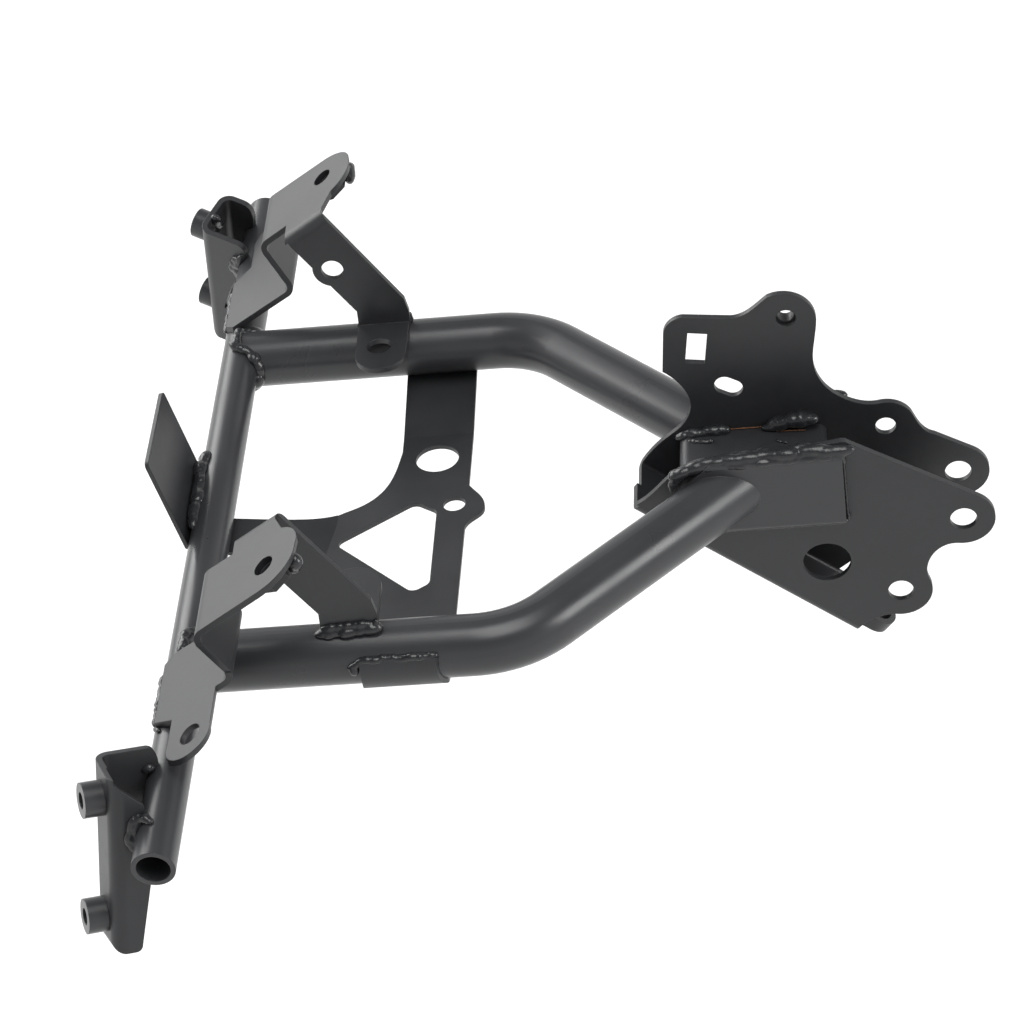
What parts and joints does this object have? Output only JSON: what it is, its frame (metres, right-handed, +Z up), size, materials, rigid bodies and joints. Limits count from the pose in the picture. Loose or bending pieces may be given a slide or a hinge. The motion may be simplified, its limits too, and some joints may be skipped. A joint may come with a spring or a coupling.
{
  "type": "motorcycle fairing stay",
  "caption": "Welded tube and sheet steel frame that carries a motorcycle's front fairing, bolted to the steering head by two ears.",
  "frame": {"origin": "middle of the head bolt's hole axis, on the mirror plane between the two head plates", "axes": "+X to the bike's left along the head bolt, +Y to the rear of the bike, +Z up as mounted"},
  "size_m": [0.442, 0.3707, 0.1794],
  "materials": {
    "coated_tube": "satin black powder coat on drawn steel tube",
    "coated_sheet": "satin black powder coat on pressed steel sheet",
    "coated_nut": "satin black powder coat on weld nuts",
    "coated_boss": "satin black powder coat on turned steel bosses",
    "coated_weld": "glossy black coat on uneven weld beads"
  },
  "bodies": {
    "root": {"cross_tube": "coated_tube", "left_arm": "coated_tube", "right_arm": "coated_tube", "head_bracket": "coated_sheet", "head_gusset": "coated_sheet", "left_upper_bracket": "coated_sheet", "right_upper_bracket": "coated_sheet", "left_end_bracket": "coated_sheet", "right_end_bracket": "coated_sheet", "front_tab": "coated_sheet", "lower_plate": "coated_sheet", "head_nut": "coated_nut", "left_upper_nut": "coated_nut", "right_upper_nut": "coated_nut", "left_upper_boss": "coated_boss", "left_lower_boss": "coated_boss", "right_upper_boss": "coated_boss", "right_lower_boss": "coated_boss", "left_head_weld": "coated_weld", "right_head_weld": "coated_weld", "gusset_weld": "coated_weld", "tab_weld": "coated_weld"}
  },
  "joints": []
}
